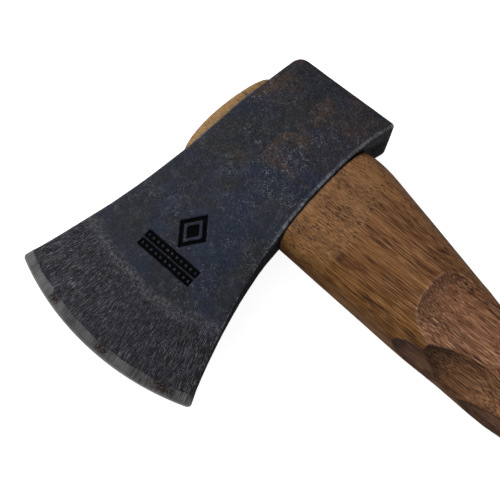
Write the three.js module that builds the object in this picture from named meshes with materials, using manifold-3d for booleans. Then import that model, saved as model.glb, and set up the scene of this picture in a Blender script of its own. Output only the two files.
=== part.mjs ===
// Hatchet: a forged steel head on a carved walnut handle, locked by two wedges.
//
// Millimetres. The hatchet lies on its cheek: +X runs along the handle to the butt,
// +Y points to the poll, -Y to the cutting edge, and +Z is up through the cheeks.
// The pieces are drawn round the middle of the eye, the hole that the handle passes
// through, and then moved along -Y until the poll's flat face lies on the origin.

import * as THREE from 'three';
import { mergeVertices } from 'three/addons/utils/BufferGeometryUtils.js';
import Module from 'manifold-3d';

const wasm = await Module();
wasm.setup();

// ---------------------------------------------------------------- driving dimensions

const GAP = 0.3;                        // clearance between neighbouring pieces

// Head, seen from the side. Each edge curve is a row of [y, x] pairs.
const POLL_Y = 41.2;
const CUTTING_EDGE_Y = -114.3;
const CUTTING_EDGE_RADIUS = 126;
const CUTTING_EDGE_MIDDLE_X = -3.2;
const TOP_EDGE = [
  [-106.5, -50.9], [-90, -45.5], [-74.5, -40.9], [-60, -36.9], [-44.5, -33.5], [-14.5, -28.1],
  [7.5, -26.4], [POLL_Y, -22.1],
];
const UNDERSIDE = [
  [-106.5, 45.7], [-84.5, 37.5], [-64.5, 31.7], [-44.5, 27.7], [-22.5, 25.9], [7.5, 26],
  [27.5, 28.1], [POLL_Y, 31.7],
];

// Head, seen along the handle: [y, half thickness] from the bevel to the poll.
const BEVEL_WIDTH = 4.8;
const BEVEL_HALF = 1.7;
const EDGE_HALF = 0.1;
const CHEEK_HALF = [
  [CUTTING_EDGE_Y + BEVEL_WIDTH, BEVEL_HALF], [-95.5, 2.9], [-65.5, 5.5], [-38.5, 8.1], [-28.5, 9.8],
  [-14.5, 12.2], [-0.5, 13.1], [19.5, 13.1], [POLL_Y, 12.5],
];
const LONG_CORNER = 1.2;                // rounding along the top edge and the underside
const POLL_CORNER = 3.2;                // rounding round the poll
const POLL_TOP_CORNER = 6;              // rounding of its corner on the top edge
const TIP_CORNER = 1.8;                 // rounding of the toe and the heel
const SWEEP_NONE_Y = -30;               // the cutting edge's sweep fades in between these
const SWEEP_FULL_Y = -74;
const CHEEK_STATIONS = 21;

// Eye: an oval, a little narrower towards the blade, that is longest at its upper mouth.
const EYE_HALF_LENGTH = 25.9;
const EYE_LENGTH_TAPER = 2.6;
const EYE_LEAN = -0.5;
const EYE_HALF_WIDTH = 9.9;
const EYE_FLARE = 0.5;
const EYE_NARROWING = 0.1;
const EYE_SIDES = 36;
const MOUTH_X = 27;

// Mark on the upper cheek: two sunk bars under a lozenge outline.
const MARK_DEPTH = 0.7;
const MARK_X = -2.4;
const BAR_LENGTH = 28.6;
const BAR_WIDTH = 3.6;
const BAR_ROWS_Y = [-64.3, -68.6];
const LOZENGE_Y = -51.6;
const LOZENGE_HALF_LENGTH = 7.2;
const LOZENGE_HALF_HEIGHT = 9.2;
const LOZENGE_LINE = 1.7;

// Handle before carving, as rows of [x, value].
const SHOULDER_X = 30;
const BUTT_X = 350;
const FRONT_Y = [
  [SHOULDER_X, -31.2], [50, -32], [90, -33.5], [140, -34], [190, -32.2], [250, -28.8],
  [300, -30], [332, -35.4], [BUTT_X, -37.4],
];
const BACK_Y = [
  [SHOULDER_X, 25.4], [38, 25], [60, 20.1], [84, 14], [104, 8.8], [140, 2.6], [185, 1], [250, 3.4],
  [310, 5.4], [BUTT_X, 4.6],
];
const HANDLE_HALF = [
  [SHOULDER_X, 15.1], [90, 15.2], [140, 14.6], [200, 13.6], [260, 13.4], [310, 14.6],
  [338, 16.4], [BUTT_X, 16.2],
];
const SQUARENESS = [[SHOULDER_X, 3.4], [60, 3], [100, 2.9], [160, 2.7], [BUTT_X, 2.6]];
const SHOULDER_CORNER = 1;
const BUTT_CORNER = 4;

// The neck thins towards the head: where that starts, how the line bends, and its slope.
const NECK_X = 50;
const NECK_LEAN = 2.6;
const NECK_BEND = 3.6;
const NECK_SLOPE = 0.12;
const HANDLE_SIDES = 36;
const HANDLE_STATIONS = 25;

// The tenon stands out of the eye as a dome.
const DOME_RISE = 8.2;
const DOME_TILT = 0.09;                 // the crown falls away towards the poll
const DOME_CROWN_SCALE = 0.42;
const DOME_FULLNESS = 3.4;

// Knife scoops: each is part of a large cylinder lying across the handle, deepest at x.
// side is the angle round the handle's axis: 0 faces the poll side, 90 faces up.
const SCOOP_SEGMENTS = 90;
const SCOOP_LENGTH = 90;
const NECK_SCOOPS = [
  { x: 109.5, side: 90, radius: 110, depth: 2.9 },
  { x: 99, side: 168, radius: 40, depth: 1.8 },
  { x: 118, side: 127, radius: 44, depth: 4.8 },
  { x: 131, side: 168, radius: 45, depth: 1.7 },
  { x: 134, side: 104, radius: 90, depth: 3.5 },
  { x: 122, side: 14, radius: 90, depth: 1.8 },
  { x: 104, side: 270, radius: 150, depth: 1.8 },
  { x: 112, side: 222, radius: 90, depth: 2.6 },
];
const GRIP_FIRST_X = 154;
const GRIP_LAST_X = 332;
const GRIP_ROWS = 6;
const GRIP_SIDES = 7;
const GRIP_SCOOP_RADIUS = 105;
const GRIP_SCOOP_DEPTH = 1.6;
const GRIP_TURN_DEGREES = 4;
const GRIP_SHIFT = 4;

// Wedges, each tapering downwards from the crown of the dome.
const EYE_WEDGE_TALL = 42;
const EYE_WEDGE_THICK = 4.2;
const EYE_WEDGE_TIP = 0.8;
const CROSS_WEDGE_Y = 11.2;
const CROSS_WEDGE_TALL = 22;
const CROSS_WEDGE_THICK = 1.5;
const CROSS_WEDGE_TIP = 0.5;

// ---------------------------------------------------------------- helpers

const { lerp, smoothstep, degToRad } = THREE.MathUtils;

function range(count) {
  return Array.from({ length: count }, (_, index) => index);
}

// A smooth curve through [position, value] pairs, as a function of position.
function curve(pairs) {
  const positions = pairs.map(([position]) => position);
  const values = pairs.map(([, value]) => value);
  const interpolant = new THREE.CubicInterpolant(positions, values, 1);
  return (position) => interpolant.evaluate(position)[0];
}

// A closed skin through a row of rings, each an array of the same number of points.
function loft(rings) {
  const sides = rings[0].length;
  const spans = rings.length - 1;
  const skin = new THREE.CylinderGeometry(1, 1, 1, sides, spans);
  const positions = skin.getAttribute('position');
  const centres = rings.map((ring) => {
    const sum = ring.reduce((total, point) => total.add(point), new THREE.Vector3());
    return sum.divideScalar(sides);
  });
  for (const index of range(positions.count)) {
    const vertex = new THREE.Vector3().fromBufferAttribute(positions, index);
    const row = Math.round((0.5 - vertex.y) * spans);
    const turn = Math.atan2(-vertex.x, vertex.z) / (2 * Math.PI);
    const side = (Math.round(turn * sides) + sides) % sides;
    const onAxis = Math.hypot(vertex.x, vertex.z) < 0.5;
    const point = onAxis ? centres[row] : rings[row][side];
    positions.setXYZ(index, point.x, point.y, point.z);
  }
  return skin;
}

function toManifold(geometry) {
  const bare = geometry.clone();
  bare.deleteAttribute('normal');
  bare.deleteAttribute('uv');
  const merged = mergeVertices(bare, 1e-4);
  return new wasm.Manifold(new wasm.Mesh({
    numProp: 3,
    vertProperties: new Float32Array(merged.getAttribute('position').array),
    triVerts: new Uint32Array(merged.getIndex().array),
  }));
}

function toGeometry(solid) {
  const mesh = solid.getMesh();
  const geometry = new THREE.BufferGeometry();
  geometry.setAttribute('position', new THREE.BufferAttribute(mesh.vertProperties, 3));
  geometry.setIndex(new THREE.BufferAttribute(mesh.triVerts, 1));
  geometry.computeVertexNormals();
  return geometry;
}

function subtractAll(solid, cutters) {
  return cutters.reduce((rest, cutter) => rest.subtract(cutter), solid);
}

// How much a quarter-round corner pulls an outline in at this distance from the end.
function cornerInset(distance, radius) {
  const left = Math.max(radius - distance, 0);
  return radius - Math.sqrt(radius ** 2 - left ** 2);
}

// ---------------------------------------------------------------- head

const topEdge = curve(TOP_EDGE);
const underside = curve(UNDERSIDE);
const cheekHalf = curve(CHEEK_HALF);

// A station is a line across the head, from the top edge to the underside. It is straight
// at the poll and follows the arc of the cutting edge at the blade.
function stationY(station, x) {
  const across = x - CUTTING_EDGE_MIDDLE_X;
  const sweep = CUTTING_EDGE_RADIUS - Math.sqrt(CUTTING_EDGE_RADIUS ** 2 - across ** 2);
  return station + sweep * (1 - smoothstep(station, SWEEP_FULL_Y, SWEEP_NONE_Y));
}

// The x where a station meets an edge curve.
function stationEnd(edge, station) {
  return edge(stationY(station, edge(station)));
}

function headHalf(station) {
  const fromEdge = station - CUTTING_EDGE_Y;
  if (fromEdge < BEVEL_WIDTH) {
    return lerp(EDGE_HALF, BEVEL_HALF, fromEdge / BEVEL_WIDTH);
  }
  return cheekHalf(station) - cornerInset(POLL_Y - station, POLL_CORNER);
}

// A rectangle with rounded corners in x and z, as points that run round it once.
function roundedRectangle(halfX, halfZ, radius, cornerSteps, flatPoints) {
  const points = [];
  const corners = [[1, 1], [-1, 1], [-1, -1], [1, -1]];
  corners.forEach(([signX, signZ], quarter) => {
    const centreX = signX * (halfX - radius);
    const centreZ = signZ * (halfZ - radius);
    for (const step of range(cornerSteps + 1)) {
      const angle = (quarter + step / cornerSteps) * Math.PI / 2;
      points.push([centreX + radius * Math.cos(angle), centreZ + radius * Math.sin(angle)]);
    }
    const isCheek = quarter % 2 === 0;
    for (const step of range(isCheek ? flatPoints : 0)) {
      points.push([lerp(centreX, -centreX, (step + 1) / (flatPoints + 1)), signZ * halfZ]);
    }
  });
  return points;
}

function headRing(station) {
  const atTip = cornerInset(station - CUTTING_EDGE_Y, TIP_CORNER);
  const atPoll = cornerInset(POLL_Y - station, POLL_CORNER);
  const start = stationEnd(topEdge, station) + atTip + cornerInset(POLL_Y - station, POLL_TOP_CORNER);
  const end = stationEnd(underside, station) - atTip - atPoll;
  const half = headHalf(station);
  const radius = Math.min(LONG_CORNER, 0.6 * half);
  const middle = (start + end) / 2;
  return roundedRectangle((end - start) / 2, half, radius, 3, 8).map(([x, z]) => (
    new THREE.Vector3(middle + x, stationY(station, middle + x), z)
  ));
}

function headStations() {
  const poll = [0, 0.3, 1.1, POLL_CORNER, POLL_TOP_CORNER].map((distance) => POLL_Y - distance);
  const lastCheek = CUTTING_EDGE_Y + 2 * BEVEL_WIDTH;
  const cheeks = range(CHEEK_STATIONS).map((step) => lerp(33, lastCheek, step / (CHEEK_STATIONS - 1)));
  const bevel = [BEVEL_WIDTH, TIP_CORNER, 0.7, 0.2, 0].map((distance) => CUTTING_EDGE_Y + distance);
  return [...poll, ...cheeks, ...bevel];
}

// An oval across the eye. A positive inset makes it smaller, as the tenon is.
function eyeRing(x, inset) {
  const down = x / MOUTH_X;
  const halfLength = EYE_HALF_LENGTH - EYE_LENGTH_TAPER * down - inset;
  const halfWidth = EYE_HALF_WIDTH + EYE_FLARE * down ** 2 - inset;
  return range(EYE_SIDES).map((step) => {
    const angle = step / EYE_SIDES * 2 * Math.PI;
    const narrowing = 1 - EYE_NARROWING * (1 - Math.cos(angle)) / 2;
    const y = halfLength * Math.cos(angle) - EYE_LEAN * down;
    return new THREE.Vector3(x, y, halfWidth * narrowing * Math.sin(angle));
  });
}

// Sets a cutter on the slope of the upper cheek, sunk by the mark's depth.
function sinkIntoCheek(geometry, y) {
  geometry.rotateX(Math.atan2(cheekHalf(y + 1) - cheekHalf(y - 1), 2));
  geometry.translate(MARK_X, y, cheekHalf(y) - MARK_DEPTH);
  return toManifold(geometry);
}

function barCutter(y) {
  const bar = new THREE.BoxGeometry(BAR_LENGTH, BAR_WIDTH, 2 * MARK_DEPTH);
  bar.translate(0, 0, MARK_DEPTH);
  return sinkIntoCheek(bar, y);
}

function lozengePoints(inset) {
  const halfX = LOZENGE_HALF_LENGTH - inset;
  const halfY = LOZENGE_HALF_HEIGHT - inset * LOZENGE_HALF_HEIGHT / LOZENGE_HALF_LENGTH;
  return [[halfX, 0], [0, halfY], [-halfX, 0], [0, -halfY]].map(([x, y]) => new THREE.Vector2(x, y));
}

function lozengeCutter() {
  const outline = new THREE.Shape(lozengePoints(0));
  outline.holes.push(new THREE.Path(lozengePoints(LOZENGE_LINE)));
  const cutter = new THREE.ExtrudeGeometry(outline, { depth: 2 * MARK_DEPTH, bevelEnabled: false });
  return sinkIntoCheek(cutter, LOZENGE_Y);
}

function buildHead() {
  const forging = toManifold(loft(headStations().map(headRing)));
  const eye = toManifold(loft([-40, -MOUTH_X, -13, 0, 13, MOUTH_X, 40].map((x) => eyeRing(x, 0))));
  return subtractAll(forging, [eye, ...BAR_ROWS_Y.map(barCutter), lozengeCutter()]);
}

// ---------------------------------------------------------------- handle

const frontY = curve(FRONT_Y);
const backY = curve(BACK_Y);
const handleHalf = curve(HANDLE_HALF);
const squareness = curve(SQUARENESS);

function axisY(x) {
  return (frontY(x) + backY(x)) / 2;
}

// Where the neck starts to thin: across runs from -1 at the front to 1 at the back.
function neckStart(across) {
  return NECK_X - NECK_LEAN * across - NECK_BEND * across ** 2;
}

// A section of the handle: an oval with flattened sides.
function handleRing(x, inset) {
  const halfY = (backY(x) - frontY(x)) / 2 - inset;
  const halfZ = handleHalf(x) - inset;
  const power = 2 / squareness(x);
  return range(HANDLE_SIDES).map((step) => {
    const angle = step / HANDLE_SIDES * 2 * Math.PI;
    const cos = Math.cos(angle);
    const sin = Math.sin(angle);
    const across = Math.sign(cos) * Math.abs(cos) ** power;
    const thinned = halfZ - NECK_SLOPE * Math.max(0, neckStart(across) - x);
    const z = thinned * Math.sign(sin) * Math.abs(sin) ** power;
    return new THREE.Vector3(x, axisY(x) + halfY * across, z);
  });
}

// Moves a ring's points to follow the head's underside.
function alongUnderside(ring, distance) {
  return ring.map((point) => point.setX(underside(point.y) + distance));
}

// A ring of the tenon's dome: rise runs from 0 at the eye's upper mouth to 1 at the crown.
function domeRing(rise, inset) {
  const shrink = lerp(1, DOME_CROWN_SCALE, rise ** DOME_FULLNESS);
  return eyeRing(-MOUTH_X, inset).map((point) => {
    const y = EYE_LEAN + (point.y - EYE_LEAN) * shrink;
    const height = DOME_RISE - DOME_TILT * y - inset;
    return point.set(-MOUTH_X - rise * height, y, point.z * shrink);
  });
}

function tenonRings(inset) {
  const dome = [1, 0.93, 0.8, 0.6, 0.3, 0].map((rise) => domeRing(rise, inset));
  const inEye = [-12, 0, 12].map((x) => eyeRing(x, inset));
  return [...dome, ...inEye];
}

function handleBlank() {
  const root = alongUnderside(eyeRing(MOUTH_X, GAP), GAP);
  const shoulder = [
    alongUnderside(handleRing(SHOULDER_X, SHOULDER_CORNER), GAP),
    alongUnderside(handleRing(SHOULDER_X, SHOULDER_CORNER * 0.3), GAP + SHOULDER_CORNER * 0.3),
    alongUnderside(handleRing(SHOULDER_X, 0), GAP + SHOULDER_CORNER),
  ];
  const gripEnd = BUTT_X - BUTT_CORNER;
  const grip = range(HANDLE_STATIONS).map((step) => (
    handleRing(lerp(36, gripEnd, step / (HANDLE_STATIONS - 1)), 0)
  ));
  const butt = [0.5, 0.87, 1].map((share) => {
    const x = gripEnd + BUTT_CORNER * share;
    return handleRing(x, cornerInset(BUTT_X - x, BUTT_CORNER));
  });
  return toManifold(loft([...tenonRings(GAP), root, ...shoulder, ...grip, ...butt]));
}

// How far the uncarved handle reaches from its axis towards a side.
function reach(x, side) {
  const towards = new THREE.Vector3(0, Math.cos(side), Math.sin(side));
  const axis = new THREE.Vector3(0, axisY(x), 0);
  return Math.max(...handleRing(x, 0).map((point) => point.sub(axis).dot(towards)));
}

// The surface's slope moves the cylinder's middle, so that x stays the deepest place.
function scoopCutter({ x, side, radius, depth }) {
  const turn = degToRad(side);
  const drift = axisY(x + 1) - axisY(x - 1);
  const slope = Math.atan2(reach(x + 1, turn) - reach(x - 1, turn) + drift * Math.cos(turn), 2);
  const cutter = new THREE.CylinderGeometry(radius, radius, SCOOP_LENGTH, SCOOP_SEGMENTS);
  cutter.rotateX(Math.PI / 2);
  cutter.translate(
    -(radius - depth) * Math.sin(slope),
    reach(x, turn) + (radius - depth) * Math.cos(slope),
    0,
  );
  cutter.rotateX(turn);
  cutter.translate(x, axisY(x), 0);
  return toManifold(cutter);
}

// Rows of scoops round the grip, each row turned half a step from the last.
function gripScoops() {
  const scoops = [];
  for (const row of range(GRIP_ROWS)) {
    for (const place of range(GRIP_SIDES)) {
      const wander = Math.sin(7 * row + 3 * place);
      scoops.push({
        x: lerp(GRIP_FIRST_X, GRIP_LAST_X, row / (GRIP_ROWS - 1)) + GRIP_SHIFT * wander,
        side: (place + (row % 2) / 2) * 360 / GRIP_SIDES + GRIP_TURN_DEGREES * wander,
        radius: GRIP_SCOOP_RADIUS * (1 + 0.25 * wander),
        depth: GRIP_SCOOP_DEPTH * (1 - 0.3 * wander),
      });
    }
  }
  return scoops;
}

// ---------------------------------------------------------------- wedges

// A plate that tapers along +x from the crown. clearance grows it on every side.
function taperedPlate(tall, thick, tip, width, clearance) {
  const profile = new THREE.Shape([
    new THREE.Vector2(-10, thick / 2 + clearance),
    new THREE.Vector2(-10, -thick / 2 - clearance),
    new THREE.Vector2(tall + clearance, -tip / 2 - clearance),
    new THREE.Vector2(tall + clearance, tip / 2 + clearance),
  ]);
  const plate = new THREE.ExtrudeGeometry(profile, { depth: width, bevelEnabled: false });
  plate.translate(-MOUTH_X - DOME_RISE, 0, -width / 2);
  return plate;
}

function eyeWedgePlate(clearance) {
  const plate = taperedPlate(EYE_WEDGE_TALL, EYE_WEDGE_THICK, EYE_WEDGE_TIP, 70, clearance);
  plate.rotateX(Math.PI / 2);
  return toManifold(plate);
}

function crossWedgePlate(clearance) {
  const plate = taperedPlate(CROSS_WEDGE_TALL, CROSS_WEDGE_THICK, CROSS_WEDGE_TIP, 30, clearance);
  plate.translate(0, CROSS_WEDGE_Y, 0);
  return toManifold(plate);
}

// What the wedges may fill: the tenon, drawn in a little from the eye's wall.
function wedgeRoom(inset) {
  return toManifold(loft([...tenonRings(inset), eyeRing(MOUTH_X - 1, inset)]));
}

function buildHandle() {
  const scoops = [...NECK_SCOOPS, ...gripScoops()].map(scoopCutter);
  return subtractAll(handleBlank(), [...scoops, eyeWedgePlate(GAP), crossWedgePlate(GAP)]);
}

function buildEyeWedge() {
  return wedgeRoom(2 * GAP).intersect(eyeWedgePlate(0)).subtract(crossWedgePlate(GAP));
}

function buildCrossWedge() {
  return wedgeRoom(3 * GAP).intersect(crossWedgePlate(0));
}

// ---------------------------------------------------------------- assembly

const steel = { color: 0x35373f, roughness: 0.6, metalness: 0.85 };
const brightSteel = { color: 0x8a8c90, roughness: 0.4, metalness: 0.95 };
const walnut = { color: 0x6f4b2b, roughness: 0.65, metalness: 0 };
const paleWood = { color: 0x9a7a52, roughness: 0.7, metalness: 0 };

const pieces = new THREE.Group();
pieces.position.y = -POLL_Y;

function add(name, solid, finish) {
  const mesh = new THREE.Mesh(toGeometry(solid), new THREE.MeshStandardMaterial(finish));
  mesh.name = name;
  pieces.add(mesh);
}

add('head', buildHead(), steel);
add('handle', buildHandle(), walnut);
add('eye_wedge', buildEyeWedge(), paleWood);
add('cross_wedge', buildCrossWedge(), brightSteel);

const hatchet = new THREE.Group();
hatchet.add(pieces);

export default hatchet;
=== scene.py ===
"""Hatchet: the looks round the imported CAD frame.

Shapes are worked out in millimetres round the middle of the eye: +X along the handle to
the butt, +Y to the poll, +Z up through the cheeks. A finished mesh is scaled to metres and
moved so that the poll's face lies on the origin, as in the CAD part.
"""
import math

import bmesh
import bpy
import numpy as np
from mathutils import Matrix, Vector


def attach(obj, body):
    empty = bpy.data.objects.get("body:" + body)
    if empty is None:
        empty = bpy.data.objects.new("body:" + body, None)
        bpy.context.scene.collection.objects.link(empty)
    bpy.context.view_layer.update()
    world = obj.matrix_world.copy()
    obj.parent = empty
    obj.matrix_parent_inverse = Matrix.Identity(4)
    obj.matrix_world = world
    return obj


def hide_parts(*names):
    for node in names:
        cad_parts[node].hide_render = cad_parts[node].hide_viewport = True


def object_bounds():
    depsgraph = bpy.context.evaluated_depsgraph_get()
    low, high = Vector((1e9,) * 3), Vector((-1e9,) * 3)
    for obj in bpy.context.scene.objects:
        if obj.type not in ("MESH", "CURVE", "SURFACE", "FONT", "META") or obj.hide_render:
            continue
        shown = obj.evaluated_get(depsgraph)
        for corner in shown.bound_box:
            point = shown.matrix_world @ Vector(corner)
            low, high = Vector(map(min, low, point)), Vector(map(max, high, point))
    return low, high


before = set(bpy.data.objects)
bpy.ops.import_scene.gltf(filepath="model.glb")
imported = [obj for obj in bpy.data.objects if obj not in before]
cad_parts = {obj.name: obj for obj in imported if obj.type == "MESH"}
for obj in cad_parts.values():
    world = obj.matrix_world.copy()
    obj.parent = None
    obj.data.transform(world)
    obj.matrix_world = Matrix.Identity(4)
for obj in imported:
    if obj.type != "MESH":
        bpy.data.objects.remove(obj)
CAD_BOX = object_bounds()
MM = 0.001

# ------------------------------------------------------------------ driving dimensions, mm

# Clearance between pieces, and the distance under which points left by a cut become one.
GAP = 0.3
WELD = 0.002
SHARP_ANGLE = math.radians(40)

POLL_Y = 41.2
CUTTING_EDGE_Y = -114.3
EDGE_RADIUS = 126.0
EDGE_MIDDLE_X = -3.2
EDGE_CENTRE_Y = CUTTING_EDGE_Y + EDGE_RADIUS
TOP_EDGE = [(-106.5, -50.9), (-90, -45.5), (-74.5, -40.9), (-60, -36.9), (-44.5, -33.5), (-14.5, -28.1),
            (7.5, -26.4), (POLL_Y, -22.1)]
UNDERSIDE = [(-106.5, 45.7), (-84.5, 37.5), (-64.5, 31.7), (-44.5, 27.7), (-22.5, 25.9), (7.5, 26),
             (27.5, 28.1), (POLL_Y, 31.7)]
BEVEL_WIDTH = 4.8
BEVEL_HALF = 1.7
EDGE_HALF = 0.1
CHEEK_HALF = [(CUTTING_EDGE_Y + BEVEL_WIDTH, BEVEL_HALF), (-95.5, 2.9), (-65.5, 5.5), (-38.5, 8.1),
              (-28.5, 9.8), (-14.5, 12.2), (-0.5, 13.1), (19.5, 13.1), (POLL_Y, 12.5)]
LONG_CORNER = 1.2
POLL_CORNER = 3.2
POLL_TOP_CORNER = 6.0
TIP_CORNER = 1.8
# Rows across the head are straight behind the first line and bend with the edge past the second.
SWEEP_NONE_Y = -30.0
SWEEP_FULL_Y = -74.0
# How far the coarsely ground blade reaches from the cutting edge.
GROUND_WIDTH = 34.0

MARK_DEPTH = 0.7
MARK_WALL = 0.28
MARK_X = -2.4
BAR_LENGTH = 28.6
BAR_WIDTH = 3.6
BAR_ROWS_Y = (-64.3, -68.6)
STUD_PITCH = 2.6
STUD_HALF = 0.85
LOZENGE_Y = -51.6
LOZENGE_HALF_LENGTH = 7.2
LOZENGE_HALF_HEIGHT = 9.2
LOZENGE_LINE = 1.7
LOZENGE_CORE_INSET = 3.2

# Spacing of the head's rows of points, and the points round a corner and along a cheek.
EYE_ROW = 0.85
MARK_ROW = 0.32
BLADE_ROW = 0.8
CORNER_STEPS = 6
CHEEK_POINTS = 138

EYE_HALF_LENGTH = 25.9
EYE_LENGTH_TAPER = 2.6
EYE_LEAN = -0.5
EYE_HALF_WIDTH = 9.9
EYE_FLARE = 0.5
EYE_NARROWING = 0.1
MOUTH_X = 27.0

SHOULDER_X = 30.0
BUTT_X = 350.0
BUTT_CORNER = 4.0
SHOULDER_CORNER = 1.0
FRONT_Y = [(SHOULDER_X, -31.2), (50, -32), (90, -33.5), (140, -34), (190, -32.2), (250, -28.8),
           (300, -30), (332, -35.4), (BUTT_X, -37.4)]
BACK_Y = [(SHOULDER_X, 25.4), (38, 25), (60, 20.1), (84, 14), (104, 8.8), (140, 2.6), (185, 1),
          (250, 3.4), (310, 5.4), (BUTT_X, 4.6)]
HANDLE_HALF = [(SHOULDER_X, 15.1), (90, 15.2), (140, 14.6), (200, 13.6), (260, 13.4), (310, 14.6),
               (338, 16.4), (BUTT_X, 16.2)]
SQUARENESS = [(SHOULDER_X, 3.4), (60, 3), (100, 2.9), (160, 2.7), (BUTT_X, 2.6)]

# Points round the handle, and the spacing of its rows before the grip and on it.
HANDLE_SIDES = 232
FORE_ROW = 0.5
GRIP_ROW = 1.7
# How deep the shoulder's edge is torn back where it meets the head.
TORN_EDGE = 0.55

# The neck thins towards the head: where that starts, how the line bends, and its slope.
NECK_X = 50.0
NECK_LEAN = 2.6
NECK_BEND = 3.6
NECK_SLOPE = 0.12

DOME_RISE = 8.2
DOME_TILT = 0.09
DOME_CROWN_SCALE = 0.42
DOME_FULLNESS = 3.4

# Knife scoops: x, side in degrees round the handle (0 faces the poll, 90 up), radius, depth,
# the tone of the cut wood from -1 (dull, open grain) to 1 (pale, burnished), and the painted shade
# on the cut from 0 to 1.
NECK_SCOOPS = [
    (109.5, 90, 110, 2.9, -0.8, 0.12),
    (99, 168, 40, 1.8, -0.3, 0.9),
    (118, 127, 44, 4.8, -0.2, 0.5),
    (131, 168, 45, 1.7, -0.3, 0.8),
    (134, 104, 90, 3.5, -0.3, 0),
    (122, 14, 90, 1.8, 0.1, 0),
    (104, 270, 150, 1.8, -0.5, 0),
    (112, 222, 90, 2.6, -0.4, 0.3),
]
GRIP_X = 140.0
GRIP_FIRST_X = 154.0
GRIP_LAST_X = 332.0
GRIP_ROWS = 6
GRIP_SIDES = 7
GRIP_SCOOP_RADIUS = 105.0
GRIP_SCOOP_DEPTH = 1.6
GRIP_TURN_DEGREES = 4.0
GRIP_SHIFT = 4.0

EYE_WEDGE_TALL = 42.0
EYE_WEDGE_THICK = 4.2
EYE_WEDGE_TIP = 0.8
CROSS_WEDGE_Y = 11.2
CROSS_WEDGE_TALL = 22.0
CROSS_WEDGE_THICK = 1.5
CROSS_WEDGE_TIP = 0.5


# ------------------------------------------------------------------ small helpers

def curve(pairs):
    """A smooth curve through (position, value) pairs that takes and gives arrays."""
    at = np.array([p for p, _ in pairs], float)
    value = np.array([v for _, v in pairs], float)

    def evaluate(position):
        t = np.clip(np.asarray(position, float), at[0], at[-1])
        i = np.clip(np.searchsorted(at, t, side="right") - 1, 0, len(at) - 2)
        before = np.where(i > 0, i - 1, i + 1)
        after = np.where(i + 2 < len(at), i + 2, i)
        half = (at[i + 1] - at[i]) / 2
        weight_before = half / np.where(i > 0, at[i] - at[before], at[i] - at[i + 1])
        weight_after = half / np.where(i + 2 < len(at), at[after] - at[i + 1], at[i] - at[i + 1])
        p = (t - at[i]) / (at[i + 1] - at[i])
        p2, p3 = p * p, p * p * p
        share_before = weight_before * (2 * p2 - p3 - p)
        share_here = ((1 + weight_before) * p3 - (1.5 + 2 * weight_before) * p2
                      + (weight_before - 0.5) * p + 1)
        share_next = -(1 + weight_after) * p3 + (1.5 + weight_after) * p2 + 0.5 * p
        share_after = weight_after * (p3 - p2)
        return (share_before * value[before] + share_here * value[i]
                + share_next * value[i + 1] + share_after * value[after])
    return evaluate


def smoothstep(x, low, high):
    t = np.clip((np.asarray(x, float) - low) / (high - low), 0, 1)
    return t * t * (3 - 2 * t)


def corner_inset(distance, radius):
    left = np.clip(radius - distance, 0, radius)
    return radius - np.sqrt(radius ** 2 - left ** 2)


def bumps(points, size, seed, stretch=(1, 1, 1)):
    """Smooth noise from -1 to 1 whose bumps are about size mm across."""
    place = points / (size * np.array(stretch)) + seed * 17.3
    cell = np.floor(place).astype(int)
    part = place - cell
    fade = part ** 3 * (part * (part * 6 - 15) + 10)
    shuffled = np.random.default_rng(seed).permutation(256)
    slopes = np.random.default_rng(seed + 1).normal(size=(256, 3))
    slopes /= np.linalg.norm(slopes, axis=1, keepdims=True)
    total = np.zeros(points.shape[:-1])
    for corner in np.ndindex(2, 2, 2):
        at = cell + corner
        key = shuffled[(at[..., 0] + shuffled[(at[..., 1] + shuffled[at[..., 2] % 256]) % 256]) % 256]
        weight = np.prod(np.where(corner, fade, 1 - fade), axis=-1)
        total += weight * np.sum(slopes[key] * (part - corner), axis=-1)
    return total * 1.5


def grid_normals(grid):
    down = np.gradient(grid, axis=0)
    across = (np.roll(grid, -1, axis=1) - np.roll(grid, 1, axis=1)) / 2
    normal = np.cross(across, down)
    return normal / np.maximum(np.linalg.norm(normal, axis=-1, keepdims=True), 1e-9)


def skin(name, grid, attributes=None):
    """A closed mesh from rings: grid is [ring, place on the ring, xyz] in mm."""
    rings, sides = grid.shape[:2]
    index = np.arange(rings * sides).reshape(rings, sides)
    here, below = index[:-1], index[1:]
    quads = np.stack([here, np.roll(here, -1, 1), np.roll(below, -1, 1), below], -1).reshape(-1, 4)
    faces = [*quads.tolist(), index[0][::-1].tolist(), index[-1].tolist()]
    mesh = bpy.data.meshes.new(name)
    points = (grid.reshape(-1, 3) - (0, POLL_Y, 0)) * MM
    mesh.from_pydata(points.tolist(), [], faces)
    for key, values in (attributes or {}).items():
        layer = mesh.attributes.new(key, "FLOAT", "POINT")
        layer.data.foreach_set("value", values.reshape(-1).astype(np.float32))
    mesh.polygons.foreach_set("use_smooth", [True] * len(faces))
    mesh.set_sharp_from_angle(angle=SHARP_ANGLE)
    mesh.update()
    piece = bpy.data.objects.new(name, mesh)
    bpy.context.scene.collection.objects.link(piece)
    return piece


def clean_cut(mesh):
    """Welds points that a cut left almost together, and splits the faces so that none folds flat."""
    shape = bmesh.new()
    shape.from_mesh(mesh)
    bmesh.ops.remove_doubles(shape, verts=shape.verts, dist=WELD * MM)
    bmesh.ops.dissolve_degenerate(shape, edges=shape.edges, dist=WELD * MM)
    bmesh.ops.triangulate(shape, faces=shape.faces)
    shape.to_mesh(mesh)
    shape.free()


def cut(piece, cutters):
    """Boolean difference, applied to the mesh."""
    for cutter in cutters:
        modifier = piece.modifiers.new("cut", "BOOLEAN")
        modifier.operation = "DIFFERENCE"
        modifier.solver = "MANIFOLD"
        modifier.object = cutter
    evaluated = piece.evaluated_get(bpy.context.evaluated_depsgraph_get())
    mesh = bpy.data.meshes.new_from_object(evaluated)
    clean_cut(mesh)
    piece.modifiers.clear()
    piece.data = mesh
    for cutter in cutters:
        bpy.data.objects.remove(cutter)


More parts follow.
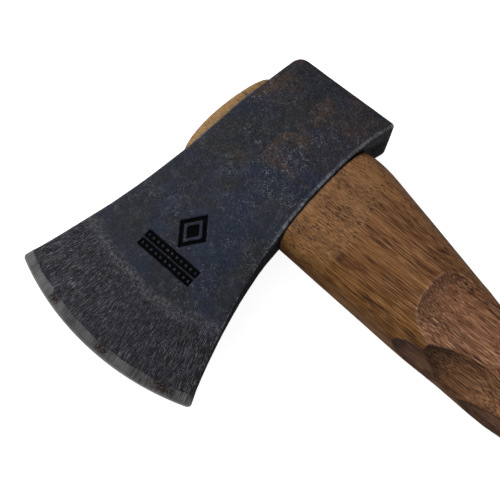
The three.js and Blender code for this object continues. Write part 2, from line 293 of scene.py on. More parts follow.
# ------------------------------------------------------------------ head

top_edge = curve(TOP_EDGE)
underside = curve(UNDERSIDE)
cheek_half = curve(CHEEK_HALF)


def station_y(station, x):
    across = x - EDGE_MIDDLE_X
    sweep = EDGE_RADIUS - np.sqrt(EDGE_RADIUS ** 2 - across ** 2)
    return station + sweep * (1 - smoothstep(station, SWEEP_FULL_Y, SWEEP_NONE_Y))


def station_end(edge, station):
    return edge(station_y(station, edge(station)))


def head_half(station):
    from_edge = station - CUTTING_EDGE_Y
    bevel = EDGE_HALF + (BEVEL_HALF - EDGE_HALF) * from_edge / BEVEL_WIDTH
    cheek = cheek_half(station) - corner_inset(POLL_Y - station, POLL_CORNER)
    return np.where(from_edge < BEVEL_WIDTH, bevel, cheek)


def rounded_rectangle(half_x, half_z, radius, corner_steps, flat_points):
    """Points in x and z that run once round a rectangle with rounded corners."""
    points = []
    for quarter, (sign_x, sign_z) in enumerate(((1, 1), (-1, 1), (-1, -1), (1, -1))):
        centre = np.array([sign_x * (half_x - radius), sign_z * (half_z - radius)])
        for step in range(corner_steps + 1):
            angle = (quarter + step / corner_steps) * math.pi / 2
            points.append(centre + radius * np.array([math.cos(angle), math.sin(angle)]))
        if quarter % 2 == 0:
            for step in range(flat_points):
                share = (step + 1) / (flat_points + 1)
                points.append(np.array([centre[0] * (1 - 2 * share), sign_z * half_z]))
        else:
            points.append(np.array([sign_x * half_x, 0.0]))
    return np.array(points)


def head_stations():
    """Row positions from the poll to the cutting edge, closest together over the mark."""
    poll = POLL_Y - np.array([0, 0.06, 0.2, 0.45, 0.8, 1.3, 1.9, 2.5, POLL_CORNER])
    mark_top = LOZENGE_Y + LOZENGE_HALF_HEIGHT + 1.5
    mark_end = BAR_ROWS_Y[1] - BAR_WIDTH / 2 - 1.5
    bevel_start = CUTTING_EDGE_Y + BEVEL_WIDTH
    eye = np.arange(POLL_Y - POLL_CORNER - 0.8, mark_top, -EYE_ROW)
    mark = np.arange(mark_top, mark_end, -MARK_ROW)
    blade = np.arange(mark_end, bevel_start + 0.3, -BLADE_ROW)
    bevel = CUTTING_EDGE_Y + np.array([BEVEL_WIDTH + 0.03, BEVEL_WIDTH - 0.03, 4.3, 3.6, 2.9, 2.2,
                                       TIP_CORNER, 1.2, 0.7, 0.3, 0.1, 0])
    return np.concatenate([poll, eye, mark, blade, bevel])


def mark_depth(points):
    """How deep the sunk mark is at each point, from 0 to 1, with soft walls."""
    x = points[..., 0] - MARK_X
    y = points[..., 1]
    wall = MARK_WALL
    depth = np.zeros(x.shape)
    for row_y in BAR_ROWS_Y:
        inside = np.minimum(BAR_LENGTH / 2 - np.abs(x), BAR_WIDTH / 2 - np.abs(y - row_y))
        bar = smoothstep(inside, -wall, wall)
        stud_x = np.abs((x / STUD_PITCH + 0.5) % 1 - 0.5) * STUD_PITCH
        stud = smoothstep(STUD_HALF - stud_x - np.abs(y - row_y), -wall, wall)
        stud = stud * (np.abs(x) < BAR_LENGTH / 2 - 1)
        depth = np.maximum(depth, bar * (1 - 0.75 * stud))
    slant = LOZENGE_HALF_LENGTH / math.hypot(LOZENGE_HALF_LENGTH, LOZENGE_HALF_HEIGHT)
    reach = np.abs(x) / LOZENGE_HALF_LENGTH + np.abs(y - LOZENGE_Y) / LOZENGE_HALF_HEIGHT
    distance = (1 - reach) * LOZENGE_HALF_HEIGHT * slant
    ring = smoothstep(distance, -wall, wall) * smoothstep(LOZENGE_LINE - distance, -wall, wall)
    core = smoothstep(distance - LOZENGE_CORE_INSET, -wall, wall)
    depth = np.maximum(depth, np.maximum(ring, core))
    return depth * (points[..., 2] > 0)


def build_head():
    rings = []
    wear = []
    for station in head_stations():
        at_tip = corner_inset(station - CUTTING_EDGE_Y, TIP_CORNER)
        at_poll = corner_inset(POLL_Y - station, POLL_CORNER)
        start = station_end(top_edge, station) + at_tip + corner_inset(POLL_Y - station, POLL_TOP_CORNER)
        end = station_end(underside, station) - at_tip - at_poll
        half = float(head_half(station))
        corner = min(LONG_CORNER, 0.6 * half)
        ring = rounded_rectangle((end - start) / 2, half, corner, CORNER_STEPS, CHEEK_POINTS)
        x = (start + end) / 2 + ring[:, 0]
        rings.append(np.stack([x, station_y(station, x), ring[:, 1]], -1))
        from_side = (end - start) / 2 - np.abs(ring[:, 0])
        from_cheek = half - np.abs(ring[:, 1])
        from_poll = np.full(x.shape, POLL_Y - station)
        pairs = ((from_side, from_cheek), (from_side, from_poll), (from_cheek, from_poll))
        nearest = np.min([np.hypot(a, b) for a, b in pairs], axis=0)
        below = smoothstep(ring[:, 0], 0, 10)
        by_eye = below * float(smoothstep(station, -48, -26))
        wear.append(smoothstep(nearest, 0.9, 0.5) * (0.15 + 0.35 * below + 0.5 * by_eye)
                    + 0.5 * smoothstep(nearest, 1.7, 0.9) * by_eye)
    grid = np.array(rings)
    from_edge = EDGE_RADIUS - np.hypot(grid[..., 0] - EDGE_MIDDLE_X, grid[..., 1] - EDGE_CENTRE_Y)
    hammered = smoothstep(from_edge, 26, 42)
    forged = smoothstep(from_edge, BEVEL_WIDTH - 0.5, BEVEL_WIDTH + 3)
    relief = 0.16 * bumps(grid, 17, 1) * hammered + 0.05 * bumps(grid, 5, 2) * hammered
    relief += 0.03 * bumps(grid, 1.9, 3) * forged
    depth = mark_depth(grid)
    relief = relief * (1 - 0.8 * depth) - MARK_DEPTH * depth
    poll_face = smoothstep(POLL_Y - grid[..., 1], 0.0, 1.2)
    grid = grid + grid_normals(grid) * (relief * (0.25 + 0.75 * poll_face))[..., None]
    around = np.arctan2(grid[..., 0] - EDGE_MIDDLE_X, EDGE_CENTRE_Y - grid[..., 1])
    body = skin("head_forging", grid, {"from_edge": from_edge, "along_edge": around * EDGE_RADIUS,
                                       "mark": depth, "wear": np.array(wear)})
    cutter_x = np.array([-44, -MOUTH_X, -18, -9, 0, 9, 18, MOUTH_X, 44])
    cutter = skin("eye_cutter", np.array([eye_ring(x, 0, 96) for x in cutter_x]))
    cut(body, [cutter])
    return body


def eye_ring(x, inset, sides):
    angle = np.arange(sides) / sides * 2 * math.pi
    down = x / MOUTH_X
    half_length = EYE_HALF_LENGTH - EYE_LENGTH_TAPER * down - inset
    half_width = EYE_HALF_WIDTH + EYE_FLARE * down ** 2 - inset
    narrowing = 1 - EYE_NARROWING * (1 - np.cos(angle)) / 2
    y = half_length * np.cos(angle) - EYE_LEAN * down
    return np.stack([np.full(sides, float(x)), y, half_width * narrowing * np.sin(angle)], -1)


# ------------------------------------------------------------------ handle

front_y = curve(FRONT_Y)
back_y = curve(BACK_Y)
handle_half = curve(HANDLE_HALF)
squareness = curve(SQUARENESS)


def axis_y(x):
    return (front_y(x) + back_y(x)) / 2


def reach(x, side):
    """How far the uncarved section reaches from its axis towards a side."""
    power = squareness(x)
    dual = power / (power - 1)
    along_y = (back_y(x) - front_y(x)) / 2 * abs(math.cos(side))
    along_z = handle_half(x) * abs(math.sin(side))
    return (along_y ** dual + along_z ** dual) ** (1 / dual)


def neck_start(across):
    """Where the neck starts to narrow; across runs from -1 at the front to 1 at the back."""
    return NECK_X - NECK_LEAN * across - NECK_BEND * across ** 2


def blank_radius(x, angle, inset=0.0):
    power = squareness(x)
    half_y = (back_y(x) - front_y(x)) / 2 - inset
    half_z = handle_half(x) - inset
    across = np.cos(angle)
    for _ in range(3):
        narrowed = half_z - NECK_SLOPE * np.maximum(0, neck_start(across) - x)
        radius = (np.abs(np.cos(angle) / half_y) ** power
                  + np.abs(np.sin(angle) / narrowed) ** power) ** (-1 / power)
        across = radius * np.cos(angle) / half_y
    return radius


def placed_scoop(x, side, radius, depth, tone, painted_shade_amount):
    """A scoop's side in radians, radius, centre in x and out from the axis, axis y and looks."""
    turn = math.radians(side)
    drift = axis_y(x + 1) - axis_y(x - 1)
    slope = math.atan2(reach(x + 1, turn) - reach(x - 1, turn) + drift * math.cos(turn), 2)
    centre_x = x - (radius - depth) * math.sin(slope)
    centre_out = reach(x, turn) + (radius - depth) * math.cos(slope)
    return turn, radius, centre_x, centre_out, float(axis_y(x)), tone, painted_shade_amount


def all_scoops():
    scoops = list(NECK_SCOOPS)
    for row in range(GRIP_ROWS):
        for place in range(GRIP_SIDES):
            wander = math.sin(7 * row + 3 * place)
            along = row / (GRIP_ROWS - 1)
            scoops.append((
                GRIP_FIRST_X + (GRIP_LAST_X - GRIP_FIRST_X) * along + GRIP_SHIFT * wander,
                (place + (row % 2) / 2) * 360 / GRIP_SIDES + GRIP_TURN_DEGREES * wander,
                GRIP_SCOOP_RADIUS * (1 + 0.25 * wander),
                GRIP_SCOOP_DEPTH * (1 - 0.3 * wander),
                0.6 * math.sin(5 * row + 2 * place),
                0.3 + 0.3 * math.sin(3 * row + 5 * place),
            ))
    return [placed_scoop(*scoop) for scoop in scoops]


SCOOPS = all_scoops()


def carve(x, angle, radius):
    """Shortens the radii of the section at x to the knife scoops' surfaces."""
    axis_here = axis_y(x)
    for turn, scoop_radius, centre_x, centre_out, axis_there, *_ in SCOOPS:
        along = x - centre_x
        if abs(along) > scoop_radius * 0.9:
            continue
        limit = centre_out - math.sqrt(scoop_radius ** 2 - along ** 2)
        limit = limit - (axis_here - axis_there) * math.cos(turn)
        facing = np.cos(angle - turn)
        room = np.where(facing > 0.2, limit / np.maximum(facing, 0.2), np.inf)
        radius = np.minimum(radius, room)
    return radius


def cut_marks(grid):
    """For each point: tone of its cut and the painted shade on it, closeness to a ridge, share of neck."""
    x, y, z = grid[..., 0], grid[..., 1] - axis_y(grid[..., 0]), grid[..., 2]
    half_y = (back_y(x) - front_y(x)) / 2
    thinned = handle_half(x) - NECK_SLOPE * np.maximum(0, neck_start(y / half_y) - x)
    power = squareness(x)
    share = (np.abs(y / half_y) ** power + np.abs(z / thinned) ** power) ** (1 / power)
    gaps = [np.hypot(y, z) * (1 / np.maximum(share, 1e-6) - 1)]
    tone = np.zeros(x.shape)
    shade = np.zeros(x.shape)
    for turn, radius, centre_x, centre_out, axis_there, scoop_tone, painted_shade_amount in SCOOPS:
        along = np.clip(x - centre_x, -0.9 * radius, 0.9 * radius)
        surface = centre_out - np.sqrt(radius ** 2 - along ** 2)
        out = (grid[..., 1] - axis_there) * math.cos(turn) + z * math.sin(turn)
        gap = np.abs(surface - out)
        gaps.append(gap)
        here = smoothstep(gap, 0.2, 0.02)
        tone += here * (scoop_tone - tone)
        shade += here * (painted_shade_amount - shade)
    neck = smoothstep(neck_start(y / half_y) - x, -4, 4)
    second = np.partition(np.array(gaps), 1, axis=0)[1]
    # Painted shade: deepest along a cut's border, where the hollow's wall falls in shade.
    shade = shade * (0.75 + 0.7 * smoothstep(second, 1.4, 0.1))
    return {"tone": tone, "shade": shade, "ridge": smoothstep(second, 0.2, 0.0), "neck": neck}


def even_angles(x, inset):
    """Angles that space the points of a section evenly along its outline."""
    fine = np.linspace(0, 2 * math.pi, 1441)
    radius = blank_radius(x, fine, inset)
    outline = np.stack([radius * np.cos(fine), radius * np.sin(fine)], -1)
    length = np.concatenate([[0], np.cumsum(np.linalg.norm(np.diff(outline, axis=0), axis=1))])
    return np.interp(np.arange(HANDLE_SIDES) / HANDLE_SIDES * length[-1], length, fine)


def section(x, inset=0.0):
    angle = even_angles(x, inset)
    radius = carve(float(x), angle, blank_radius(x, angle, inset))
    return np.stack([np.full(angle.shape, float(x)), axis_y(x) + radius * np.cos(angle),
                     radius * np.sin(angle)], -1)


def shoulder_section(distance, inset):
    """A ring near the head: it follows the head's underside, then straightens out."""
    ring = section(SHOULDER_X - 2 + distance, inset)
    torn = TORN_EDGE * np.maximum(0, bumps(ring, 1.3, 9)) * float(smoothstep(distance, 2.5, 0.5))
    follow = underside(ring[:, 1]) + GAP + distance + torn
    straight = SHOULDER_X - 2 + distance
    ring[:, 0] = follow + (straight - follow) * smoothstep(distance, 3, 12)
    return ring


def dome_section(rise):
    shrink = 1 + (DOME_CROWN_SCALE - 1) * rise ** DOME_FULLNESS
    ring = eye_ring(-MOUTH_X, GAP, HANDLE_SIDES)
    y = EYE_LEAN + (ring[:, 1] - EYE_LEAN) * shrink
    height = DOME_RISE - DOME_TILT * y - GAP
    return np.stack([-MOUTH_X - rise * height, y, ring[:, 2] * shrink], -1)


def crown_sections():
    """Closes the dome over its crown with rings that shrink to a small cap."""
    crown = dome_section(1.0)
    middle = crown.mean(axis=0)
    return [middle + (crown - middle) * share for share in (0.08, 0.3, 0.55, 0.8)]


def build_handle():
    crown = crown_sections()
    dome = [dome_section(rise) for rise in (1, 0.97, 0.93, 0.88, 0.8, 0.7, 0.6, 0.48, 0.36, 0.24, 0.12, 0)]
    tenon = [eye_ring(x, GAP, HANDLE_SIDES) for x in (-18, -9, 0, 9, 18)]
    root = eye_ring(MOUTH_X, GAP, HANDLE_SIDES)
    root[:, 0] = underside(root[:, 1]) + GAP
    shoulder = [shoulder_section(distance, float(corner_inset(distance, SHOULDER_CORNER)))
                for distance in (0, 0.08, 0.3, 0.6, 1, SHOULDER_CORNER, 2.2, 2.8)]
    neck = [shoulder_section(distance, 0) for distance in np.arange(3.3, 14.5, FORE_ROW)]
    fore = [section(x) for x in np.arange(SHOULDER_X + 13, GRIP_X, FORE_ROW)]
    grip = [section(x) for x in np.arange(GRIP_X, BUTT_X - BUTT_CORNER, GRIP_ROW)]
    butt = [section(BUTT_X - BUTT_CORNER + BUTT_CORNER * share,
                    float(corner_inset(BUTT_CORNER * (1 - share), BUTT_CORNER)))
            for share in (0.1, 0.3, 0.5, 0.7, 0.85, 0.95, 1)]
    rows = [*crown, *dome, *tenon, root, *shoulder, *neck, *fore, *grip, *butt]
    grid = np.array(rows)
    marks = cut_marks(grid)
    marks["from_head"] = grid[..., 0] - underside(grid[..., 1]) - GAP
    wobble = 0.12 * bumps(grid, 22, 5, (2, 1, 1)) + 0.035 * bumps(grid, 4, 6, (5, 1, 1))
    quiet = smoothstep(grid[..., 0], MOUTH_X + 1, MOUTH_X + 6) * smoothstep(BUTT_X - grid[..., 0], 0, 5)
    grid = grid + grid_normals(grid) * (wobble * quiet)[..., None]
    body = skin("handle_carved", grid, marks)
    cut(body, [eye_kerf(), cross_kerf()])
    return body


def tapered_plate(name, tall, thick, tip, width, turned):
    """A wedge-shaped cutter that runs down from above the dome."""
    top = -MOUTH_X - DOME_RISE - 10
    end = -MOUTH_X - DOME_RISE + tall + GAP
    corners = np.array([(top, thick / 2 + GAP), (top, -thick / 2 - GAP),
                        (end, -tip / 2 - GAP), (end, tip / 2 + GAP)])
    rings = []
    for side in (-width / 2, width / 2):
        flat = np.full(4, side)
        thin = corners[:, 1]
        rings.append(np.stack([corners[:, 0], flat if turned else thin, thin if turned else flat], -1))
    if turned:
        rings = rings[::-1]
    return skin(name, np.array(rings))


def eye_kerf():
    return tapered_plate("eye_kerf", EYE_WEDGE_TALL, EYE_WEDGE_THICK, EYE_WEDGE_TIP, 80, True)


def cross_kerf():
    cutter = tapered_plate("cross_kerf", CROSS_WEDGE_TALL, CROSS_WEDGE_THICK, CROSS_WEDGE_TIP, 40, False)
    cutter.data.transform(Matrix.Translation((0, CROSS_WEDGE_Y * MM, 0)))
    return cutter


# ------------------------------------------------------------------ material helpers

def srgb(red, green, blue):
    """A colour given in 0-255 screen values, as Blender's linear RGBA."""
    def linear(value):
        value = value / 255
        return value / 12.92 if value <= 0.04045 else ((value + 0.055) / 1.055) ** 2.4
    return (linear(red), linear(green), linear(blue), 1.0)


class Graph:
    """A material's node tree, with short calls that add a node and return its output.

    Places and sizes in it are in mm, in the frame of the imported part, so the poll's face is y = 0.
    """

    def __init__(self, name):
        self.material = bpy.data.materials.new(name)
        self.material.use_nodes = True
        self.tree = self.material.node_tree
        self.tree.nodes.clear()
        coordinates = self.node("ShaderNodeTexCoord").outputs["Object"]
        self.place = self.vector("MULTIPLY", coordinates, (1 / MM, 1 / MM, 1 / MM))

    def node(self, kind, inputs=None, **settings):
        node = self.tree.nodes.new(kind)
        for key, value in settings.items():
            setattr(node, key, value)
        for key, value in (inputs or {}).items():
            if isinstance(value, bpy.types.NodeSocket):
                self.tree.links.new(value, node.inputs[key])
            else:
                node.inputs[key].default_value = value
        return node

    def vector(self, operation, a, b):
        return self.node("ShaderNodeVectorMath", {0: a, 1: b}, operation=operation).outputs[0]

    def turned(self, place, angles):
        return self.node("ShaderNodeVectorRotate", {"Vector": place, "Rotation": angles},
                         rotation_type="EULER_XYZ").outputs[0]

    def math(self, operation, a, b=0.0, clamp=False):
        return self.node("ShaderNodeMath", {0: a, 1: b}, operation=operation, use_clamp=clamp).outputs[0]

    def times(self, first, *others):
        for other in others:
            first = self.math("MULTIPLY", first, other)
        return first

    def line(self, value, start, slope):
        """start + slope * value."""
        return self.math("ADD", start, self.math("MULTIPLY", value, slope))

    def around_zero(self, noise, span):
        """Noise of 0 to 1, moved to lie evenly round zero and stretched to span."""
        return self.math("MULTIPLY", self.math("SUBTRACT", noise, 0.5), span)

    def largest(self, first, *others):
        for other in others:
            first = self.math("MAXIMUM", first, other)
        return first

    def noise(self, size, detail=3.0, roughness=0.55, distortion=0.0, place=None):
        """Noise from 0 to 1. size is in mm: a number, or one for each axis."""
        place = self.place if place is None else place
        size = (size, size, size) if isinstance(size, (int, float)) else size
        place = self.vector("DIVIDE", place, size)
        inputs = {"Vector": place, "Scale": 1.0, "Detail": detail, "Roughness": roughness,
                  "Distortion": distortion}
        return self.node("ShaderNodeTexNoise", inputs).outputs[0]

    def ramp(self, factor, *stops):
        """Maps 0-1 through (position, grey value) stops."""
        node = self.node("ShaderNodeValToRGB", {0: factor})
        elements = node.color_ramp.elements
        while len(elements) < len(stops):
            elements.new(0.5)
        for element, (position, value) in zip(elements, stops):
            element.position = position
            element.color = (value, value, value, 1)
        return node.outputs[0]

    def step(self, value, low, high):
        """0 at low, 1 at high and smooth between them; low may be the larger of the two."""
        inputs = {"Value": value, "From Min": low, "From Max": high}
        return self.node("ShaderNodeMapRange", inputs, interpolation_type="SMOOTHSTEP").outputs[0]

    def mix(self, factor, a, b):
        return self.node("ShaderNodeMix", {0: factor, 6: a, 7: b}, data_type="RGBA").outputs[2]

    def over(self, base, tint, mask, amount):
        """Lays a tint over a colour where the mask is, by an amount."""
        return self.mix(self.math("MULTIPLY", mask, amount), base, tint)

    def toned(self, color, factors, mask, amount):
        """Multiplies a colour by a factor for each channel where the mask is, by an amount."""
        return self.over(color, self.vector("MULTIPLY", color, factors), mask, amount)

    def attribute(self, name):
        return self.node("ShaderNodeAttribute", attribute_name=name).outputs["Fac"]

    def axis(self, name):
        return self.node("ShaderNodeSeparateXYZ", {0: self.place}).outputs[name]

    def bump(self, height, depth_mm):
        inputs = {"Height": height, "Distance": depth_mm * MM, "Strength": 1.0}
        return self.node("ShaderNodeBump", inputs).outputs[0]

    def surface(self, **inputs):
        names = {"color": "Base Color", "metallic": "Metallic", "roughness": "Roughness",
                 "normal": "Normal", "specular": "Specular IOR Level"}
        shader = self.node("ShaderNodeBsdfPrincipled", {names[key]: value for key, value in inputs.items()})
        output = self.node("ShaderNodeOutputMaterial")
        self.tree.links.new(shader.outputs[0], output.inputs[0])
        return self.material


# ------------------------------------------------------------------ steel of the head

# Rusty pits in the honed bevel: place along the cutting edge and half width, mm.
PIT_CLUSTERS = [(-24, 4), (6, 5), (36, 8)]
# Worn dashes in the scale: directions in radians, and their size across and along.
DASH_TURNS = (0.4, 1.5, 2.5)
DASH_SIZE = (1.7, 0.32, 1.5)
# Long scratches: direction in radians and size, mm.
SCRATCHES = [(0.5, (5, 0.2, 5)), (2.2, (4, 0.2, 4)), (1.35, (7, 0.22, 7))]


def forge_scale(g, middle, fine):
    """Blue-black scale with olive clouds, rust stains near the poll and short bright worn specks."""
    y = g.axis("Y")
    scale = g.mix(g.step(g.noise(24, 4), 0.38, 0.62), srgb(23, 25, 31), srgb(21, 30, 49))
    olive = g.step(g.noise((14, 20, 14), 4, 0.6, 0.5, g.turned(g.place, (0.3, 0, 0.8))), 0.5, 0.66)
    scale = g.over(scale, srgb(35, 34, 31), olive, 0.5)
    scale = g.over(scale, srgb(54, 56, 63), g.step(middle, 0.5, 0.75), 0.6)
    scale = g.over(scale, srgb(12, 13, 20), g.step(middle, 0.48, 0.3), 0.6)
    scale = g.over(scale, srgb(6, 7, 11), g.step(fine, 0.5, 0.34), 0.7)

    rusty = g.times(g.step(g.noise(13, 4, 0.6, 0.6), 0.5, 0.68), g.step(y, -80, -20),
                    g.step(g.noise(1.4, 3, 0.7), 0.3, 0.62))
    scale = g.over(scale, srgb(82, 59, 37), rusty, 0.75)
    browned = g.times(g.step(y, -55, 0), g.step(g.noise(19, 3), 0.36, 0.6))
    scale = g.over(scale, srgb(37, 26, 22), browned, 0.68)

    worn = g.times(g.step(g.noise(15, 3), 0.42, 0.62), g.step(g.noise(3.2, 2), 0.4, 0.6), g.step(y, 0, -34))
    dashes = g.largest(*(
        g.step(g.noise(DASH_SIZE, 1, 0.5, place=g.turned(g.place, (0, 0, turn))), 0.64, 0.74)
        for turn in DASH_TURNS))
    specks = g.step(g.noise(1.1, 4, 0.85), 0.55, 0.7)
    bright = g.largest(g.math("MULTIPLY", specks, 0.7), dashes)
    bright = g.times(bright, g.line(worn, 0.2, 0.8), g.line(g.step(y, -80, -56), 0.55, 0.45))
    return g.over(scale, srgb(120, 122, 128), bright, 0.9)


def ground_steel(g, polar, grind, middle, fine, border):
    """Short striations, about square to the edge, over mottled grey with a pale inner border."""
    cross_grind = g.noise((0.28, 2.8, 4), 2, 0.6, place=g.turned(polar, (0, 0, 0.2)))
    patches = g.noise(6, 4, 0.65)
    grit = g.noise(0.42, 1, 0.5)
    ground = g.mix(g.step(g.noise(9, 3), 0.38, 0.62), srgb(20, 21, 24), srgb(24, 22, 34))
    ground = g.over(ground, srgb(50, 50, 55), g.step(middle, 0.5, 0.72), 0.5)
    ground = g.over(ground, srgb(7, 7, 10), g.step(fine, 0.5, 0.34), 0.7)
    lines = g.times(g.step(grind, 0.52, 0.68), g.line(g.step(patches, 0.42, 0.62), 0.35, 0.65))
    cross_lines = g.times(g.step(cross_grind, 0.56, 0.7), g.step(patches, 0.6, 0.44))
    ground = g.over(ground, srgb(6, 6, 10), g.step(grind, 0.48, 0.36), 0.75)
    ground = g.over(ground, srgb(110, 110, 117), lines, 0.8)
    ground = g.over(ground, srgb(104, 104, 112), cross_lines, 0.65)
    ground = g.over(ground, srgb(8, 8, 12), g.step(grit, 0.46, 0.34), 0.55)
    ground = g.over(ground, srgb(100, 100, 108), g.step(grit, 0.58, 0.7), 0.4)
    return g.over(ground, srgb(94, 94, 98), border, 0.7)


def honed_steel(g, from_edge, along_edge, hone, clusters, pits):
    """Bright bevel with fine lines across it, browned round its pits."""
    honed = g.mix(g.step(g.noise(9, 3), 0.35, 0.65), srgb(66, 66, 67), srgb(92, 92, 93))
    streaky = g.line(g.step(along_edge, 8, 30), 0.35, 0.4)
    honed = g.over(honed, srgb(136, 134, 137), g.step(hone, 0.48, 0.7), streaky)
    honed = g.over(honed, srgb(48, 46, 48), g.step(hone, 0.48, 0.34), streaky)
    honed = g.over(honed, srgb(138, 138, 138), g.step(from_edge, 0.9, 0.4), 0.6)
    honed = g.over(honed, srgb(62, 50, 46), g.times(clusters, g.noise(1.5, 2)), 1.1)
    return g.over(honed, srgb(26, 15, 15), pits, 0.9)


def forged_steel():
    """Forge scale on the cheeks, a coarsely ground blade and a bright honed bevel."""
    g = Graph("forged_steel")
    from_edge = g.attribute("from_edge")
    along_edge = g.attribute("along_edge")
    mark = g.attribute("mark")
    polar = g.node("ShaderNodeCombineXYZ", {0: along_edge, 1: from_edge, 2: g.axis("Z")}).outputs[0]
    middle = g.noise(4.5, 4, 0.65)
    fine = g.noise(1.1, 3, 0.75)
    grind = g.noise((0.3, 3.4, 4), 2, 0.6, place=polar)
    hone = g.noise((0.25, 9, 3), 2, 0.6, place=polar)

    # The ground blade ends in a ragged line with a pale border inside it.
    ragged = g.math("ADD", g.around_zero(g.noise(8, 4), 9), g.around_zero(grind, 8))
    reach_in = g.math("ADD", from_edge, ragged)
    is_ground = g.step(reach_in, GROUND_WIDTH + 2.5, GROUND_WIDTH - 2)
    border = g.times(g.step(reach_in, GROUND_WIDTH + 3.5, GROUND_WIDTH + 0.5),
                     g.step(reach_in, GROUND_WIDTH - 6.5, GROUND_WIDTH - 0.5),
                     g.step(g.noise(1.3, 3, 0.7), 0.4, 0.66))

    # The honed bevel's inner line wanders, and the bevel keeps a few rusty pits.
    wander = g.math("ADD", g.around_zero(g.noise(7, 3), 1.6), g.math("MULTIPLY", g.noise(0.8), 0.6))
    is_honed = g.step(g.math("ADD", from_edge, wander), BEVEL_WIDTH + 0.35, BEVEL_WIDTH - 0.15)
    clusters = g.largest(*(
        g.step(g.math("ABSOLUTE", g.math("SUBTRACT", along_edge, place)), half_width, half_width * 0.3)
        for place, half_width in PIT_CLUSTERS))
    clusters = g.times(clusters, g.step(from_edge, 0.6, 2.6))
    pits = g.times(clusters, g.step(g.noise(0.8, 3, 0.7), 0.46, 0.53))

    scale = forge_scale(g, middle, fine)
    color = g.mix(is_ground, scale, ground_steel(g, polar, grind, middle, fine, border))
    color = g.mix(is_honed, color, honed_steel(g, from_edge, along_edge, hone, clusters, pits))

    # Corners rubbed bright, and long thin scratches.
    uneven_wear = g.math("MULTIPLY", g.step(g.noise(9, 5, 0.75), 0.44, 0.6), 0.7)
    rubbed = g.times(g.attribute("wear"), g.math("ADD", 0.3, uneven_wear),
                     g.math("ADD", 0.35, g.step(g.noise(0.9, 3, 0.7), 0.42, 0.6)))
    color = g.over(color, srgb(176, 181, 192), rubbed, 0.8)
    scratches = g.largest(*(
        g.step(g.noise(size, 1, 0.4, place=g.turned(g.place, (0, 0, turn))), 0.74, 0.78)
        for turn, size in SCRATCHES))
    color = g.over(color, srgb(112, 113, 116), scratches, 0.6)
    color = g.mix(g.step(mark, 0.25, 0.8), color, srgb(3, 3, 4))

    bare = g.largest(is_honed, g.math("MULTIPLY", g.largest(rubbed, scratches), 0.4))
    metallic = g.largest(g.math("MULTIPLY", is_ground, 0.3), bare)
    roughness = g.line(g.noise(2.5, 3), 0.55, 0.25)
    roughness = g.math("SUBTRACT", roughness, g.math("MULTIPLY", is_honed, 0.14))
    specular = g.math("SUBTRACT", 0.17, g.math("MULTIPLY", mark, 0.15))

    grain = g.math("ADD", g.math("MULTIPLY", fine, 0.7), g.math("MULTIPLY", g.noise(0.45, 2), 0.5))
    height = g.math("ADD", grain, g.times(grind, is_ground))
    height = g.math("SUBTRACT", height, g.times(pits, is_honed, 1.5))
    height = g.math("SUBTRACT", height, g.math("MULTIPLY", scratches, 0.5))
    height = g.mix(is_honed, height, g.math("MULTIPLY", hone, 0.4))
    return g.surface(color=color, metallic=metallic, roughness=roughness, specular=specular,
                     normal=g.bump(height, 0.16))


# ------------------------------------------------------------------ wood of the handle

# The tree's pith, which the growth rings run round, and their spacing, mm.
PITH_Y = -95
PITH_Z = -62
RING_SPACING = 4.6


def late_wood(g, y, z):
    """The dark outer part of each growth ring, which a cut shows as contour lines."""
    drift = g.around_zero(g.noise((90, 14, 14), 2), 16)
    from_pith_y = g.math("ADD", y, -PITH_Y)
    from_pith_z = g.math("ADD", g.math("ADD", z, -PITH_Z), drift)
    squares = g.math("ADD", g.math("POWER", from_pith_y, 2), g.math("POWER", from_pith_z, 2))
    rings = g.math("FRACT", g.math("DIVIDE", g.math("SQRT", squares), RING_SPACING))
    return g.ramp(rings, (0.0, 0.15), (0.55, 0.0), (0.86, 0.75), (0.93, 1.0), (1.0, 0.15))


def heartwood(g, y, tone, late, fibres, threads):
    """Brown bands, more golden along the front, under fine dark and pale fibres."""
    is_cut = g.step(g.math("ABSOLUTE", tone), 0.03, 0.1)
    golden = g.times(g.step(y, -44, -76), g.math("SUBTRACT", 1, is_cut))
    dark = g.mix(golden, srgb(92, 58, 36), srgb(95, 59, 22))
    light = g.mix(golden, srgb(129, 87, 56), srgb(132, 89, 36))
    color = g.mix(g.step(g.noise((130, 9, 9), 3, 0.5), 0.34, 0.68), dark, light)
    color = g.over(color, srgb(146, 103, 64), g.step(fibres, 0.49, 0.62), 0.48)
    color = g.over(color, srgb(50, 30, 17), g.step(fibres, 0.48, 0.37), 0.42)
    lined = g.line(g.step(g.noise((60, 5, 5), 3, 0.6), 0.4, 0.62), 0.3, 0.7)
    color = g.over(color, srgb(30, 17, 10), g.times(g.step(threads, 0.56, 0.61), lined), 0.95)
    color = g.over(color, srgb(172, 130, 88), g.step(threads, 0.44, 0.35), 0.5)
    color = g.over(color, srgb(52, 31, 16), g.times(late, g.step(fibres, 0.62, 0.4)), 0.4)
    streaks = g.times(g.step(g.noise((120, 7, 7), 2), 0.5, 0.62),
                      g.step(g.noise((36, 0.5, 0.5), 3, 0.6), 0.52, 0.64))
    return g.over(color, srgb(44, 27, 18), streaks, 0.4)


def pore_dashes(g, tone, late):
    """Short dark dashes along the grain, most of them in late wood and dull cuts."""
    dull = g.largest(g.math("MULTIPLY", tone, -0.6), 0)
    crowded = g.math("ADD", g.line(late, 0.5, 0.5), dull)
    return g.math("MULTIPLY", g.step(g.noise((3.6, 0.3, 0.3), 1, 0.5), 0.6, 0.68), crowded, clamp=True)


